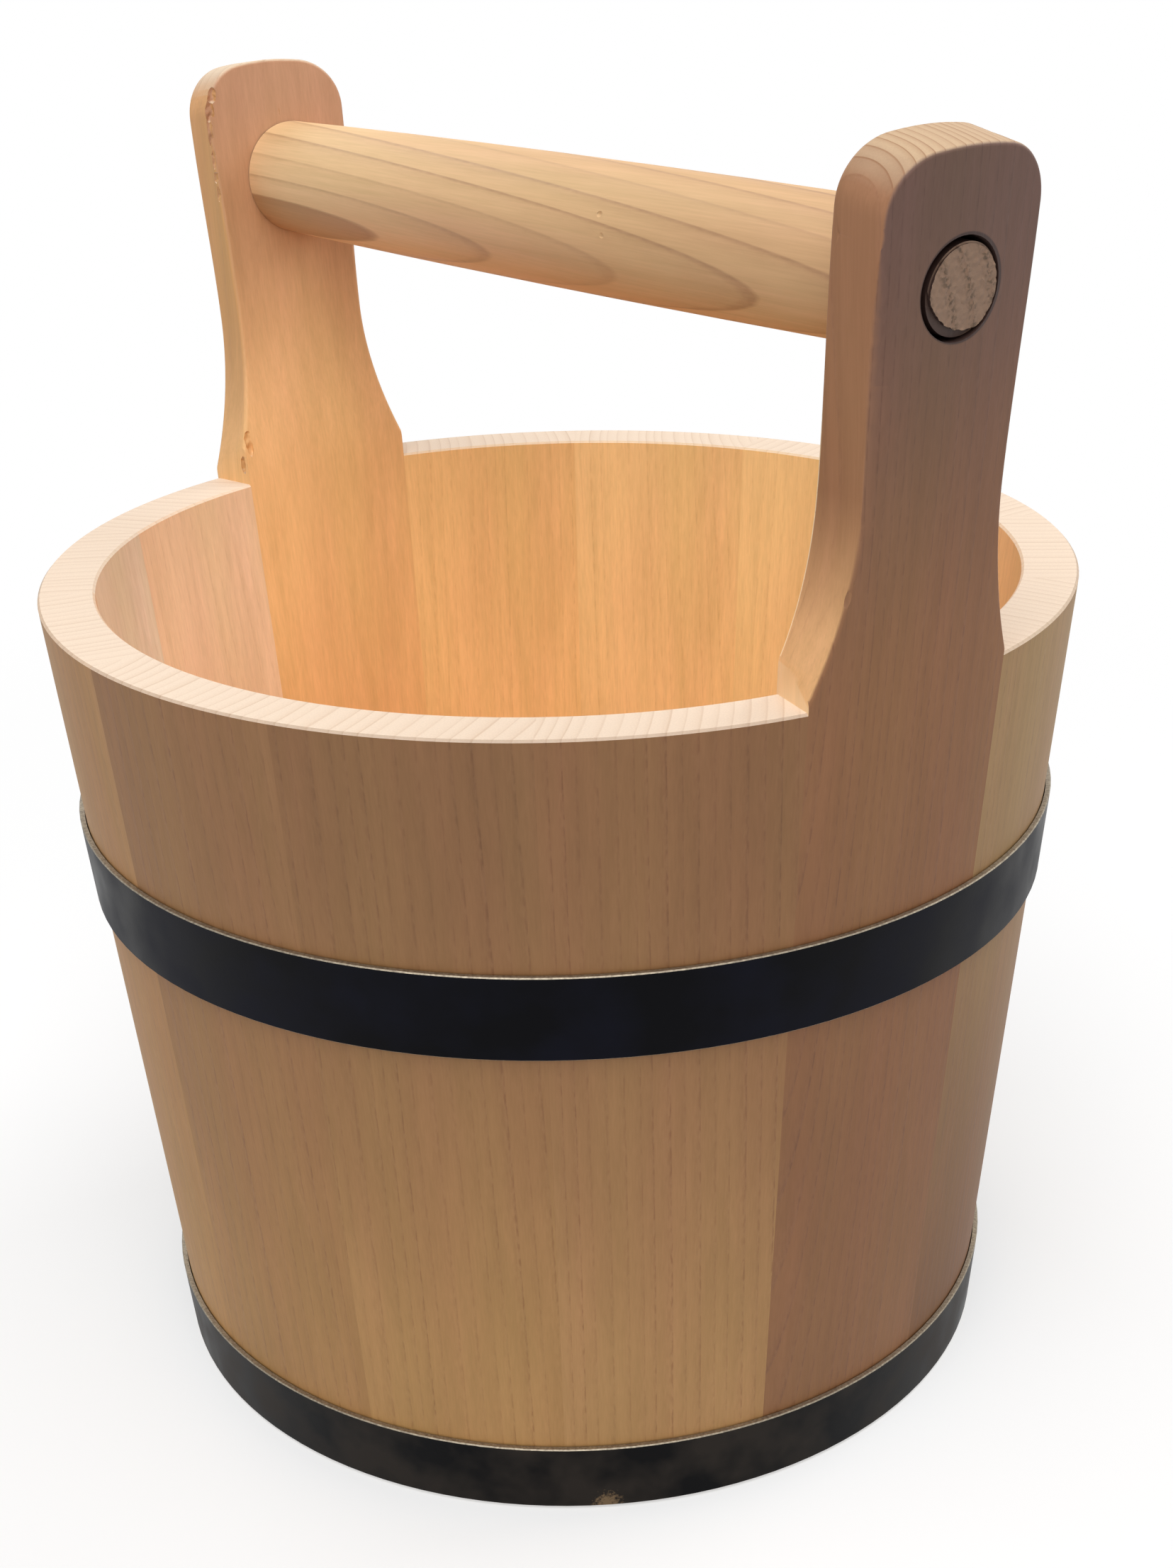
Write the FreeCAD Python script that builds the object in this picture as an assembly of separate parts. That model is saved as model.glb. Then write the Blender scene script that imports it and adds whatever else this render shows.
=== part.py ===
import FreeCAD, Part
import math
import os

# A coopered wooden carrying bucket: fourteen tapering staves inside two metal hoops, a bottom of
# three boards let into a groove, and two tall staves that carry a turned bar between their heads.
# Millimetres. +Z is up, Z = 0 is the foot, and the bar runs along X between the tall staves.

# Driving dimensions of the staved wall
body_height = 193.5             # foot to the sawn rim
rim_diameter = 240.0            # over the staves at the rim
foot_diameter = 201.5           # over the staves at the foot
wall_thickness = 12.8           # measured level, the same from foot to rim
stave_count = 14                # all the same width, the two tall ones included
arris_break = 0.5               # plane stroke taken off the rim's and the foot's edges

# Driving dimensions of the tall handle staves, the right one on the +X side
handle_height = 298.0           # foot to the crown of the head, at the outer face
flare_share = 0.39              # of the height above the rim, where the flare runs into the neck
neck_width = 37.0
head_width = 39.8
head_corner_radius = 12.5
head_crown_radius = 62.0
flare_overhang = 1.0            # how far the sawn flare stands past the joint at the rim
handle_arris_radius = 0.9       # sanded edges of the handle part
right_handle_thickness = 13.6   # above the flare, both hand-planed to a different thickness
left_handle_thickness = 10.6
right_crown_rise = 2.6          # how much higher the crown is at the inner face
left_crown_rise = 1.3
left_head_drop = 1.0            # the left head is a little lower than the right one
left_outline_shift = -0.6       # and sawn a little beside its stave's middle

# Driving dimensions of the bar
bar_middle_diameter = 28.9
bar_right_diameter = 26.7       # at the right shoulder
bar_left_diameter = 27.6
bar_passes = 8                  # straight passes that the barrel is turned in, end to end
tenon_diameter = 17.6
tenon_recess = 0.9              # the tenon's end stands this far inside the outer face
tenon_end_diameter = 16.8       # the end is worn to a smaller disc
tenon_end_step = 0.6            # standing this proud of the rest
tenon_clearance = 1.0           # between the tenon's radius and the hole's
right_bar_drop = 25.5           # from the crown's height to the bar's axis, at the outer face
left_bar_drop = 29.3
right_bar_shift = 0.2           # beside the bucket's middle plane, towards +Y
left_bar_shift = 3.4
right_hole_shift = -0.7         # the right hole is bored beside the bar's axis
right_hole_drop = 0.3           # and below it, so the tenon lies against one side
shoulder_clearance = 0.3        # between the bar's shoulder and the inner face

# Driving dimensions of the hoops
hoop_thickness = 1.2
hoop_clearance = 0.25           # between hoop and staves
hoop_edge_break = 0.25
upper_hoop_top = 140.5
upper_hoop_width = 18.6
lower_hoop_top = 16.9
lower_hoop_width = 16.5

# Driving dimensions of the bottom
bottom_thickness = 12.0
bottom_underside = 9.0          # above the foot, so that the staves alone touch the ground
groove_depth = 4.0              # cut into the staves at the bottom board's upper face
bottom_clearance = 0.3          # between the board's round edge and the groove
bottom_board_count = 3

# Worked out from the above
taper = (rim_diameter - foot_diameter) / 2 / body_height
stave_angle = 360.0 / stave_count
neck_height = body_height + flare_share * (handle_height - body_height)
bottom_topside = bottom_underside + bottom_thickness
outside_margin = 20.0           # how far cutting tools reach past what they cut


def outer_radius(height):
    return foot_diameter / 2 + taper * height


def inner_radius(height):
    return outer_radius(height) - wall_thickness


groove_radius = inner_radius(bottom_topside) + groove_depth


def closed_face(points):
    """A flat face with straight sides through these points."""
    return Part.Face(Part.makePolygon(points + [points[0]]))


def section_point(radius, height):
    return FreeCAD.Vector(radius, 0, height)


def turned(section, degrees=360):
    """Turns a half section about the bucket's axis."""
    return section.revolve(FreeCAD.Vector(0, 0, 0), FreeCAD.Vector(0, 0, 1), degrees)


def half_section(pairs):
    """A flat half section with straight sides, given as (radius, height) pairs."""
    return closed_face([section_point(radius, height) for radius, height in pairs])


def bottom_groove():
    return turned(half_section([
        (0, bottom_underside),
        (groove_radius, bottom_underside),
        (groove_radius, bottom_topside),
        (0, bottom_topside),
    ]))


def wall_ring():
    """The tapering wall as one ring, with its edges broken and the groove for the bottom."""
    level = arris_break
    slope = taper * arris_break
    ring = turned(half_section([
        (inner_radius(0) + level, 0),
        (outer_radius(0) - level, 0),
        (outer_radius(level), level),
        (outer_radius(body_height - level), body_height - level),
        (outer_radius(body_height) - level - slope, body_height),
        (inner_radius(body_height) + level, body_height),
        (inner_radius(body_height - level), body_height - level),
        (inner_radius(level), level),
    ]))
    return ring.cut(bottom_groove())


def handle_thickness(side):
    return right_handle_thickness if side > 0 else left_handle_thickness


def tall_ring(side):
    """The wall carried on above the rim, where its inner face swings over to the handle's own."""
    level = arris_break
    top = handle_height + outside_margin
    top_radius = outer_radius(top) - handle_thickness(side)
    neck_radius = outer_radius(neck_height) - handle_thickness(side)
    corners = [
        section_point(inner_radius(body_height), body_height),
        section_point(inner_radius(level), level),
        section_point(inner_radius(0) + level, 0),
        section_point(outer_radius(0) - level, 0),
        section_point(outer_radius(level), level),
        section_point(outer_radius(top), top),
        section_point(top_radius, top),
        section_point(neck_radius, neck_height),
    ]
    edges = [Part.LineSegment(one, other).toShape() for one, other in zip(corners, corners[1:])]
    upwards = FreeCAD.Vector(taper, 0, 1)
    swing = Part.BSplineCurve()
    swing.interpolate([corners[0], corners[-1]], InitialTangent=upwards, FinalTangent=upwards)
    section = Part.Face(Part.Wire(Part.sortEdges(edges + [swing.toShape()])[0]))
    return turned(section).cut(bottom_groove())


def stave_wedge(angle, height):
    """The space between two joint planes, centred on this angle about the bucket's axis."""
    reach = rim_diameter + outside_margin
    half = math.radians(stave_angle / 2)
    corner = reach * math.tan(half)
    sector = closed_face([
        FreeCAD.Vector(0, 0, -outside_margin),
        FreeCAD.Vector(reach, -corner, -outside_margin),
        FreeCAD.Vector(reach, corner, -outside_margin),
    ])
    wedge = sector.extrude(FreeCAD.Vector(0, 0, height + 2 * outside_margin))
    wedge.rotate(FreeCAD.Vector(0, 0, 0), FreeCAD.Vector(0, 0, 1), angle)
    return wedge


def mirrored_in_width(point):
    return FreeCAD.Vector(point.x, -point.y, point.z)


def handle_outline(crown_height):
    """The sawn outline of a tall stave as a wire, drawn upright in the plane X = 0."""
    foot_half = rim_diameter / 2 * math.sin(math.radians(stave_angle / 2)) + flare_overhang
    neck_half = neck_width / 2
    head_half = head_width / 2
    wide = foot_half + outside_margin

    # The flare is an arc that runs tangent into the neck
    flare_rise = neck_height - body_height
    flare_run = foot_half - neck_half
    flare_radius = (flare_rise ** 2 + flare_run ** 2) / (2 * flare_run)
    half_turn = math.asin(flare_rise / flare_radius) / 2
    flare_foot = FreeCAD.Vector(0, foot_half, body_height)
    flare_end = FreeCAD.Vector(0, neck_half, neck_height)
    flare_middle = FreeCAD.Vector(
        0,
        neck_half + flare_radius * (1 - math.cos(half_turn)),
        neck_height - flare_radius * math.sin(half_turn),
    )

    # The crown is a long arc, and a corner arc touches both it and the head's side
    crown_centre = crown_height - head_crown_radius
    corner_y = head_half - head_corner_radius
    corner_reach = head_crown_radius - head_corner_radius
    corner_z = crown_centre + math.sqrt(corner_reach ** 2 - corner_y ** 2)
    lean = math.atan2(corner_y, corner_z - crown_centre)
    crown_end = FreeCAD.Vector(
        0,
        corner_y + head_corner_radius * math.sin(lean),
        corner_z + head_corner_radius * math.cos(lean),
    )
    halfway = (lean + math.pi / 2) / 2
    corner_middle = FreeCAD.Vector(
        0,
        corner_y + head_corner_radius * math.sin(halfway),
        corner_z + head_corner_radius * math.cos(halfway),
    )
    head_side = FreeCAD.Vector(0, head_half, corner_z)
    crown_top = FreeCAD.Vector(0, 0, crown_height)

    # The neck widens to the head in one slow curve, tangent to the flare and to the corner
    side = Part.BSplineCurve()
    side.interpolate(
        [flare_end, head_side],
        InitialTangent=FreeCAD.Vector(0, 0, 1),
        FinalTangent=FreeCAD.Vector(0, 0, 1),
    )

    below = -outside_margin
    low_corner = FreeCAD.Vector(0, wide, below)
    shelf = FreeCAD.Vector(0, wide, body_height)
    right_half = [
        Part.LineSegment(low_corner, shelf).toShape(),
        Part.LineSegment(shelf, flare_foot).toShape(),
        Part.Arc(flare_foot, flare_middle, flare_end).toShape(),
        side.toShape(),
        Part.Arc(head_side, corner_middle, crown_end).toShape(),
    ]
    left_half = [edge.mirror(FreeCAD.Vector(0, 0, 0), FreeCAD.Vector(0, 1, 0)) for edge in right_half]
    crown = Part.Arc(crown_end, crown_top, mirrored_in_width(crown_end)).toShape()
    base = Part.LineSegment(mirrored_in_width(low_corner), low_corner).toShape()
    return Part.Wire(Part.sortEdges(right_half + [crown] + left_half + [base])[0])


def handle_prism(side):
    """The outline carried straight through the wall, with its crown rising towards the inside."""
    rise = right_crown_rise if side > 0 else left_crown_rise
    drop = 0 if side > 0 else left_head_drop
    shift = 0 if side > 0 else left_outline_shift
    face_radius = outer_radius(handle_height)
    outside = face_radius + outside_margin
    inside = inner_radius(0) - outside_margin
    wires = []
    for radius in (outside, inside):
        depth = face_radius - radius
        wire = handle_outline(handle_height - drop + rise * depth / handle_thickness(side))
        wire.translate(FreeCAD.Vector(side * radius, shift, 0))
        wires.append(wire)
    return Part.makeLoft(wires, True, True)


def bar_end(side):
    """Where the bar's axis meets the outer face of the tall stave on this side, +1 or -1."""
    height = handle_height - (right_bar_drop if side > 0 else left_bar_drop)
    shift = right_bar_shift if side > 0 else left_bar_shift
    return FreeCAD.Vector(side * outer_radius(height), shift, height)


def along_bar(shape):
    """Lays a shape that was made about the Z axis along the bar's axis, from left to right."""
    left_end = bar_end(-1)
    right_end = bar_end(1)
    turn = FreeCAD.Rotation(FreeCAD.Vector(0, 0, 1), right_end - left_end)
    laid = shape.copy()
    laid.Placement = FreeCAD.Placement(left_end, turn).multiply(shape.Placement)
    return laid


def bar_length():
    return (bar_end(1) - bar_end(-1)).Length


def beyond(side, depth):
    """The half ring of space on one side of the bucket, past this depth under the outer face."""
    lowest = body_height
    highest = handle_height + outside_margin
    reach = rim_diameter
    half_ring = turned(half_section([
        (outer_radius(lowest) - depth, lowest),
        (reach, lowest),
        (reach, highest),
        (outer_radius(highest) - depth, highest),
    ]), 180)
    half_ring.rotate(FreeCAD.Vector(0, 0, 0), FreeCAD.Vector(0, 0, 1), -side * 90)
    return half_ring


def tall_stave(side):
    """A stave that runs on above the rim, sawn to the handle outline and bored for the bar."""
    angle = 0 if side > 0 else 180
    blank = tall_ring(side).common(stave_wedge(angle, handle_height))
    stave = eased(blank.common(handle_prism(side)))
    reach = wall_thickness + outside_margin
    hole = Part.makeCylinder(tenon_diameter / 2 + tenon_clearance, 2 * reach)
    middle = 0 if side < 0 else bar_length()
    hole.translate(FreeCAD.Vector(0, 0, middle - reach))
    hole = along_bar(hole)
    if side > 0:
        hole.translate(FreeCAD.Vector(0, right_hole_shift, -right_hole_drop))
    return stave.cut(hole)


def distance_from_axis(vertex):
    return math.hypot(vertex.X, vertex.Y)


def eased(stave):
    """Rounds the sawn arrises of the handle part, on both faces of the stave."""
    arrises = []
    for edge in stave.Edges:
        above_rim = edge.BoundBox.ZMin > body_height + arris_break
        first, last = edge.Vertexes[0], edge.Vertexes[-1]
        through_wall = abs(distance_from_axis(first) - distance_from_axis(last)) > wall_thickness / 2
        if above_rim and not through_wall:
            arrises.append(edge)
    return stave.makeFillet(handle_arris_radius, arrises)


def bar_radius(share):
    """The barrel's radius at this share of the bar's length, swelling smoothly to the middle."""
    straight = bar_left_diameter + (bar_right_diameter - bar_left_diameter) * share
    swell = bar_middle_diameter - (bar_left_diameter + bar_right_diameter) / 2
    return (straight + swell * 4 * share * (1 - share)) / 2


def handle_bar():
    """A bar turned to a slight barrel, with a shoulder and a round tenon at each end."""
    length = bar_length()
    shares = [step / bar_passes for step in range(bar_passes + 1)]
    profile = [(bar_radius(share), length * share) for share in shares]
    grip = along_bar(turned(half_section([(0, 0)] + profile + [(0, length)])))
    tenon = along_bar(Part.makeCylinder(tenon_diameter / 2, length))
    tenon_end = along_bar(Part.makeCylinder(tenon_end_diameter / 2, length))
    for side in (-1, 1):
        grip = grip.cut(beyond(side, handle_thickness(side) + shoulder_clearance))
        tenon = tenon.cut(beyond(side, tenon_recess + tenon_end_step))
        tenon_end = tenon_end.cut(beyond(side, tenon_recess))
    return grip.fuse([tenon, tenon_end]).removeSplitter()


def hoop(top, width):
    """A flat metal band closed to a ring that follows the wall's taper."""
    bottom = top - width
    inside = hoop_clearance
    outside = hoop_clearance + hoop_thickness
    edge = hoop_edge_break
    return turned(half_section([
        (outer_radius(bottom) + inside, bottom),
        (outer_radius(bottom) + outside - edge, bottom),
        (outer_radius(bottom + edge) + outside, bottom + edge),
        (outer_radius(top - edge) + outside, top - edge),
        (outer_radius(top) + outside - edge, top),
        (outer_radius(top) + inside, top),
    ]))


def bottom_boards():
    """A round bottom sawn from boards that meet edge to edge."""
    radius = groove_radius - bottom_clearance
    disc = Part.makeCylinder(radius, bottom_thickness, FreeCAD.Vector(0, 0, bottom_underside))
    board_width = 2 * radius / bottom_board_count
    boards = []
    for index in range(bottom_board_count):
        corner = FreeCAD.Vector(-radius, -radius + index * board_width, bottom_underside)
        strip = Part.makeBox(2 * radius, board_width, bottom_thickness, corner)
        boards.append(disc.common(strip))
    return boards


def write(name, shape):
    solids = shape.Solids
    solid = solids[0] if len(solids) == 1 else shape
    print(name, len(solids), "solid", solid.isValid(), round(solid.Volume / 1000, 1), "cm3")
    solid.exportStep("parts/" + name + ".step")


os.makedirs("parts", exist_ok=True)
ring = wall_ring()
plain_number = 0
for place in range(stave_count):
    if place == 0:
        write("handle_stave_right", tall_stave(1))
    elif place * 2 == stave_count:
        write("handle_stave_left", tall_stave(-1))
    else:
        plain_number += 1
        stave = ring.common(stave_wedge(place * stave_angle, body_height))
        write("stave_%02d" % plain_number, stave)
for number, board in enumerate(bottom_boards(), 1):
    write("bottom_board_%d" % number, board)
write("upper_hoop", hoop(upper_hoop_top, upper_hoop_width))
write("lower_hoop", hoop(lower_hoop_top, lower_hoop_width))
write("handle_bar", handle_bar())
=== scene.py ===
import bpy
import math
from mathutils import Matrix, Vector


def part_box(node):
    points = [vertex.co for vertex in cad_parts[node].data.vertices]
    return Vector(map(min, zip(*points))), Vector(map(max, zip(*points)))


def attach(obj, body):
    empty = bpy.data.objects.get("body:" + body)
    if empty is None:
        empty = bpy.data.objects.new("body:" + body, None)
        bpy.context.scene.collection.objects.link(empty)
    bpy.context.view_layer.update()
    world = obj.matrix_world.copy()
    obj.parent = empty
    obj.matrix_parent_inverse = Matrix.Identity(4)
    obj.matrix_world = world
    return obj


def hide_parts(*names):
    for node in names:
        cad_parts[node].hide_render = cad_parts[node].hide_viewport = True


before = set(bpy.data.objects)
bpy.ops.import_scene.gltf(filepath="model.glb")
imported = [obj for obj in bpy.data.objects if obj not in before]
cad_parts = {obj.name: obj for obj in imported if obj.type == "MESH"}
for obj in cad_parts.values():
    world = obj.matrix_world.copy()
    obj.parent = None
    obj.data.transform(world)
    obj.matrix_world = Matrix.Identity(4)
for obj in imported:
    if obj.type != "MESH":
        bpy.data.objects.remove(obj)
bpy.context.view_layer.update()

# The ring of staves: how many, the turn from each to the next, and how far they lean out for each length up
STAVE_COUNT = 14
STAVE_TURN = 2 * math.pi / STAVE_COUNT
STAVE_SLOPE = 0.0995
TO_MM = 1000.0

# The tenon by the camera, in metres: where its end is along the bar, the middle of its hole and its own
# middle, each as a place across and up, and how far it stands out of its solid, lies aside and sags
TENON_END = 0.12774
HOLE_MIDDLE = (-0.0002, 0.2723)
TENON_STANDS_OUT = 0.0008
TENON_ASIDE = 0.0003
TENON_SAG = 0.0006
TENON_MIDDLE = (0.0002, 0.2725 - TENON_SAG)

# How much of the bar's end moves with it, how deep and rough the saw cut, and the round block that broke
# away, in metres. What is left whole is a smaller round, moved to one side and up, with a rough edge
TENON_REACH = 0.004
SAWN_DEPTH = 0.00034
SAW_BLOCK_WIDTH = 0.026
SAW_LUMPS, SAW_ROUGHNESS = 0.0009, 0.0006
BREAK_RADIUS, BREAK_THICKNESS = 0.013, 0.0024
WHOLE_RADIUS, WHOLE_THICKNESS = 0.0108, 0.01
WHOLE_ASIDE, WHOLE_UP = 0.002, 0.0032
BREAK_LUMPS, BREAK_ROUGHNESS = 0.0012, 0.0006

# Where the painted shade round that tenon starts along the bar, how many millimetres it takes to fade, and
# between which depths under the tenon's end the broken wood goes from shaded to unshaded, in metres
SHADE_FROM = 0.114
SHADE_FADE = 0.3
SHADED_DEPTH, UNSHADED_DEPTH = 0.0009, 0.0005

# Stretches up the staves, in millimetres: where their painted shade changes, where painted shade starts to
# darken the sides of a tall stave above its flare, where the faces turn upright, and has fully done so, and
# how long the painted highlight on an inner arris takes to fade
FOOT_TO_RIM = (0, 193)
NECK_TO_HEAD = (185, 292)
SIDE_SHADE_FROM, SIDE_SHADE_FULL = 207, 235
HIGHLIGHT_FADE = 15

# Sizes of what shows in the wood, in millimetres outwards, across and along the grain: fibres, the dashes
# that late wood breaks into, streaks, patches of tone, and the drift of the rings. Real fibres are about
# 0.03 mm wide, too fine to show, so they are drawn as bundles
FIBRES = (0.4167, 0.4167, 16.67)
DASHES = (0.625, 0.625, 2.857)
STREAKS = (2.857, 2.857, 166.7)
PATCHES = (20, 20, 125)
RING_DRIFT = (50, 50, 285.7)

# Widths, in millimetres, of the specks on a sawn end, of the hollows that the saw plucked in it, and of the
# grit in the hoops' coat. Real grit is finer and wouldn't show, so it is drawn this coarse
SPECK = 0.3846
HOLLOW = 0.909
GRIT = 0.625

# Colours that pieces share: sawn ends and the rings on them, painted shade in the hollows left by the saw,
# painted shade in a joint, a painted highlight on an arris, no change of tone, a brown patch on a hoop, and
# the hoops' bare metal, whose warm tint is a painted reflection of the wood
END_GRAIN = "#e6d1bb"
END_LINES = "#a8763f"
PIT_SHADE = "#4c3a26"
JOINT_SHADE = "#3a2620"
ARRIS_HIGHLIGHT = "#ffedc8"
PLAIN = "#ffffff"
BROWN_PATCH = "#8a7256"
BARE_DARK, BARE_LIGHT = "#877c6e", "#b3a894"

# Sizes of the tools that shape the pieces, in metres: how deep a cutting block is, how wide the block that
# planes an arris is, and within what reach points merge: in a fresh copy of a solid, after cutting, and after
# the rough cut of the saw
BLOCK_DEPTH = 0.006
PLANE_WIDTH = 0.014
CAD_MERGE_REACH = 0.000002
MERGE_REACH = 0.00001
ROUGH_MERGE_REACH = 0.00002

# The photograph's frame in pixels, and the place, aim and lens of the camera that took it, in metres,
# radians and pixels
PHOTO_WIDTH, PHOTO_HEIGHT = 1655, 2212
CAMERA_DISTANCE = 0.62676
CAMERA_TURN = 0.94708
CAMERA_RISE = 0.59324
CAMERA_YAW = -0.01606
CAMERA_PITCH = 0.39130
CAMERA_ROLL = -0.02643
FOCAL_PIXELS = 3241.4
VIEW_CENTRE = (846.9, 1098.4)

# Settings that many nodes share: a product, a mix of two colours, and one colour tinted by another
TIMES = {"operation": "MULTIPLY"}
MIXED = {"data_type": "RGBA"}
TINTED = {"data_type": "RGBA", "blend_type": "MULTIPLY"}


def linear(code):
    """An sRGB hex colour as linear red, green, blue and alpha."""
    channels = [int(code[i:i + 2], 16) / 255 for i in (1, 3, 5)]
    return [c / 12.92 if c <= 0.04045 else ((c + 0.055) / 1.055) ** 2.4 for c in channels] + [1.0]


def add(tree, kind, inputs=(), **settings):
    """Adds a shader node with its settings, and fills its inputs: by name, or in the order that it shows.

    An input takes a value, a socket, or another node, which stands for the first output that it shows.
    """
    node = tree.nodes.new("ShaderNode" + kind)
    for name, value in settings.items():
        setattr(node, name, value)
    shown = [socket for socket in node.inputs if socket.enabled]
    named = inputs if isinstance(inputs, dict) else dict(enumerate(inputs))
    for name, value in named.items():
        socket = node.inputs[name] if isinstance(name, str) else shown[name]
        if isinstance(value, bpy.types.Node):
            value = next(output for output in value.outputs if output.enabled)
        if isinstance(value, bpy.types.NodeSocket):
            tree.links.new(value, socket)
        else:
            socket.default_value = value
    return node


def new_material(name):
    """A material whose node tree holds only its output."""
    material = bpy.data.materials.new(name)
    material.use_nodes = True
    tree = material.node_tree
    for node in list(tree.nodes):
        if node.type != "OUTPUT_MATERIAL":
            tree.nodes.remove(node)
    return material, tree


def surface(tree, shader):
    """Makes the shader what the material shows."""
    tree.links.new(shader.outputs[0], tree.nodes["Material Output"].inputs["Surface"])


def dress(piece, material):
    """Gives every slot of a piece the same material."""
    for slot in piece.material_slots:
        slot.material = material


def grain(tree, own, size, detail):
    """A pattern drawn out along the grain, in lumps of one size outwards, across and along it."""
    stretched = add(tree, "VectorMath", [own, size], operation="DIVIDE")
    return add(tree, "TexNoise", [stretched, 1.0, detail])


def growth_rings(tree, own, along_grain, pith, lean, ring_width, shift, wander):
    """Growth rings, numbered outwards from the leaning pith, and how dark the line of their late wood is."""
    leaning = add(tree, "VectorMath", [(*lean, 0), along_grain], operation="SCALE")
    from_pith = add(tree, "VectorMath", [own, leaning], operation="SUBTRACT")
    from_pith = add(tree, "VectorMath", [from_pith, (*pith, 0)], operation="SUBTRACT")
    from_pith = add(tree, "VectorMath", [from_pith, (1, 1, 0)], **TIMES)
    distance = add(tree, "VectorMath", [from_pith], operation="LENGTH")
    rings = add(tree, "Math", [distance, 1 / ring_width, shift], operation="MULTIPLY_ADD")

    # Some years were wider than others, and the rings drift as the tree grew
    stretch = add(tree, "Math", [rings, 0.4], **TIMES)
    uneven = add(tree, "TexNoise", [stretch, 1.0, 1.0], noise_dimensions="1D")
    drift = grain(tree, own, RING_DRIFT, 1.0)
    rings = add(tree, "Math", [rings, add(tree, "MapRange", [uneven, 0, 1, -8 * wander, 8 * wander])])
    rings = add(tree, "Math", [rings, add(tree, "MapRange", [drift, 0, 1, -4 * wander, 4 * wander])])
    year = add(tree, "Math", [rings], operation="FLOOR")
    season = add(tree, "Math", [rings], operation="FRACT")

    # Late wood: a slow darkening through summer, then a narrow dark line that stops short at the next spring
    summer = add(tree, "MapRange", [season, 0.25, 0.95, 0.0, 0.4], interpolation_type="SMOOTHSTEP")
    autumn = add(tree, "MapRange", [season, 0.8, 0.94, 0.0, 0.6], interpolation_type="SMOOTHSTEP")
    spring = add(tree, "MapRange", [season, 0.95, 1.0, 1.0, 0.0])
    chance = add(tree, "TexWhiteNoise", [year], noise_dimensions="1D")
    year_strength = add(tree, "MapRange", [chance, 0, 1, 0.4, 1.0])
    line = add(tree, "Math", [add(tree, "Math", [summer, autumn]), spring], **TIMES)
    line = add(tree, "Math", [line, year_strength], **TIMES)
    return rings, line


def fibre_tones(tree, own):
    """The fibres, and the tint that they, broad streaks and slow changes of tone give the wood."""
    fibre = grain(tree, own, FIBRES, 3.0)
    streak = grain(tree, own, STREAKS, 3.0)
    patches = grain(tree, own, PATCHES, 2.0)
    patch_parts = add(tree, "SeparateColor", [patches.outputs["Color"]])
    tone = add(tree, "MapRange", [fibre, 0.3, 0.7, 0.95, 1.04])
    tone = add(tree, "Math", [tone, add(tree, "MapRange", [streak, 0.3, 0.7, 0.93, 1.05])], **TIMES)
    patch_tone = add(tree, "MapRange", [patch_parts.outputs["Red"], 0.35, 0.65, 0.95, 1.04])
    tone = add(tree, "Math", [tone, patch_tone], **TIMES)
    warm = add(tree, "MapRange", [patch_parts.outputs["Green"], 0.35, 0.65, 1.02, 0.96])
    green = add(tree, "Math", [tone, warm], **TIMES)
    blue = add(tree, "Math", [tone, 1.4], operation="POWER")
    return fibre, add(tree, "CombineColor", [tone, green, blue])


def joint_shade(tree, place, radius, is_end):
    """How much painted shade darkens the wood round the tenon by the camera, within radius, in mm, of its
    hole's middle, where the hole and the gap round the tenon lie in shade.

    On the tenon itself, where is_end is given, its sawn end is left unshaded and only the broken part, sunk
    in the hole, is shaded.
    """
    outwards, _, up = add(tree, "SeparateXYZ", [place]).outputs
    from_hole = add(tree, "VectorMath", [place, (0, *HOLE_MIDDLE)], operation="SUBTRACT")
    from_hole = add(tree, "VectorMath", [from_hole, (0, TO_MM, TO_MM)], **TIMES)
    from_hole = add(tree, "VectorMath", [from_hole], operation="LENGTH")
    shaded = add(tree, "MapRange", [from_hole, radius, radius + SHADE_FADE, 1.0, 0.0])
    by_camera = add(tree, "Math", [outwards, SHADE_FROM], operation="GREATER_THAN")
    shaded = add(tree, "Math", [shaded, by_camera], **TIMES)
    if not is_end:
        return shaded
    leaning = add(tree, "Math", [up, -STAVE_SLOPE, outwards], operation="MULTIPLY_ADD")
    end = TENON_END - STAVE_SLOPE * HOLE_MIDDLE[1]
    broken_away = add(tree, "MapRange", [leaning, end - SHADED_DEPTH, end - UNSHADED_DEPTH, 0.92, 0.0])
    whole = add(tree, "Math", [1.0, broken_away], operation="SUBTRACT")
    unshaded = add(tree, "Math", [is_end, whole], **TIMES)
    return add(tree, "Math", [shaded, add(tree, "Math", [1.0, unshaded], operation="SUBTRACT")], **TIMES)


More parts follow.
